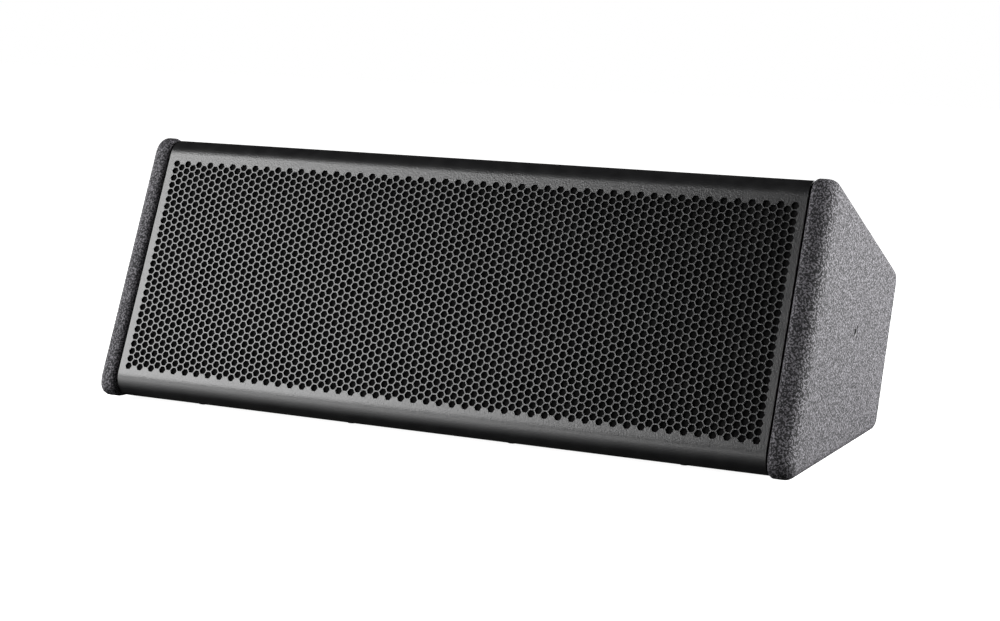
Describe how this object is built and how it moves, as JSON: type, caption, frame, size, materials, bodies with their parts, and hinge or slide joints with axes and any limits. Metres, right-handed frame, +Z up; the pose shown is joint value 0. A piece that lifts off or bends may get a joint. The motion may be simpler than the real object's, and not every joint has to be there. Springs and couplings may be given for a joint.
{
  "type": "stage monitor wedge",
  "caption": "Passive stage monitor wedge with a rolled perforated front grille, painted side panels, woofers beside a horn behind the grille, and a rear input plate.",
  "frame": {"origin": "on the floor, under the middle of the box that holds the whole wedge", "axes": "+Z up, the grille faces -Y and upwards, +X to the right as seen from the front"},
  "size_m": [0.564, 0.2853, 0.2048],
  "materials": {
    "side_paint": "coarse speckled structured paint on birch plywood",
    "panel_paint": "fine structured black paint on birch plywood",
    "baffle_paint": "thin matt black paint on birch plywood",
    "plywood": "bare birch plywood",
    "grille_coat": "semi-gloss black powder coat",
    "foam": "open-cell black foam",
    "black_screw": "black zinc plated",
    "basket_paint": "satin black paint on pressed steel",
    "magnet": "matt sintered ferrite",
    "plated_steel": "zinc plated, dull",
    "copper": "enamelled copper wire",
    "cone_paper": "treated paper pulp",
    "dust_cap": "treated cloth, matt",
    "surround_rubber": "matt butyl",
    "spider_cloth": "resin-stiffened woven cloth",
    "gasket": "pressed cork and rubber",
    "horn_plastic": "fine-grained moulded plastic",
    "port_plastic": "smooth moulded plastic",
    "titanium": "formed titanium foil",
    "board": "glass-fibre laminate with green resist",
    "spacer": "natural nylon",
    "capacitor": "wrapped film",
    "resistor": "cement body",
    "input_plate": "fine black powder coat on steel",
    "socket_plastic": "moulded plastic",
    "insert_steel": "steel insert, over-painted at its rim",
    "foot_rubber": "hard black rubber",
    "wadding": "white polyester wadding",
    "terminal": "laminated board with tinned tags"
  },
  "bodies": {
    "cabinet": {"top_panel": "panel_paint", "base_panel": "panel_paint", "rear_panel": "panel_paint", "front_baffle": "baffle_paint", "grille": "grille_coat", "grille_foam": "foam", "grille_screws": "black_screw", "horn": "horn_plastic", "horn_screws": "black_screw", "tweeter_pole_piece": "plated_steel", "tweeter_magnet": "magnet", "tweeter_gap_plate": "plated_steel", "tweeter_suspension": "surround_rubber", "tweeter_rear_cover": "port_plastic", "crossover_board": "board", "crossover_spacers": "spacer", "crossover_screws": "plated_steel", "crossover_coils": "copper", "crossover_capacitors": "capacitor", "crossover_resistors": "resistor", "input_plate": "input_plate", "input_plate_screws": "black_screw", "input_socket": "socket_plastic", "link_socket": "socket_plastic", "socket_screws": "black_screw", "rubber_feet": "foot_rubber", "foot_screws": "plated_steel", "damping_pads": "wadding", "woofer_screws": "black_screw", "left_side_panel": "side_paint", "left_threaded_insert": "insert_steel", "left_brace": "plywood", "left_port": "port_plastic", "left_woofer_basket": "basket_paint", "left_woofer_terminals": "terminal", "left_woofer_top_plate": "plated_steel", "left_woofer_magnet": "magnet", "left_woofer_yoke": "plated_steel", "left_woofer_surround": "surround_rubber", "left_woofer_spider": "spider_cloth", "left_woofer_gasket": "gasket", "right_side_panel": "side_paint", "right_threaded_insert": "insert_steel", "right_brace": "plywood", "right_port": "port_plastic", "right_woofer_basket": "basket_paint", "right_woofer_terminals": "terminal", "right_woofer_top_plate": "plated_steel", "right_woofer_magnet": "magnet", "right_woofer_yoke": "plated_steel", "right_woofer_surround": "surround_rubber", "right_woofer_spider": "spider_cloth", "right_woofer_gasket": "gasket"},
    "left_cone": {"left_woofer_voice_coil": "copper", "left_woofer_cone": "cone_paper", "left_woofer_dust_cap": "dust_cap"},
    "right_cone": {"right_woofer_voice_coil": "copper", "right_woofer_cone": "cone_paper", "right_woofer_dust_cap": "dust_cap"},
    "tweeter_dome": {"tweeter_diaphragm": "titanium"}
  },
  "joints": [
    {"name": "left_woofer_travel", "type": "slide", "parent": "cabinet", "child": "left_cone", "axis": [0, -0.9304, 0.3665], "range_m": [-0.005, 0.005], "stiffness_N_per_m": 2500, "deforming": ["left_woofer_surround", "left_woofer_spider"]},
    {"name": "right_woofer_travel", "type": "slide", "parent": "cabinet", "child": "right_cone", "axis": [0, -0.9304, 0.3665], "range_m": [-0.005, 0.005], "stiffness_N_per_m": 2500, "deforming": ["right_woofer_surround", "right_woofer_spider"]},
    {"name": "tweeter_travel", "type": "slide", "parent": "cabinet", "child": "tweeter_dome", "axis": [0, -0.9304, 0.3665], "range_m": [-0.0003, 0.0003], "stiffness_N_per_m": 8000, "deforming": ["tweeter_suspension"]}
  ]
}
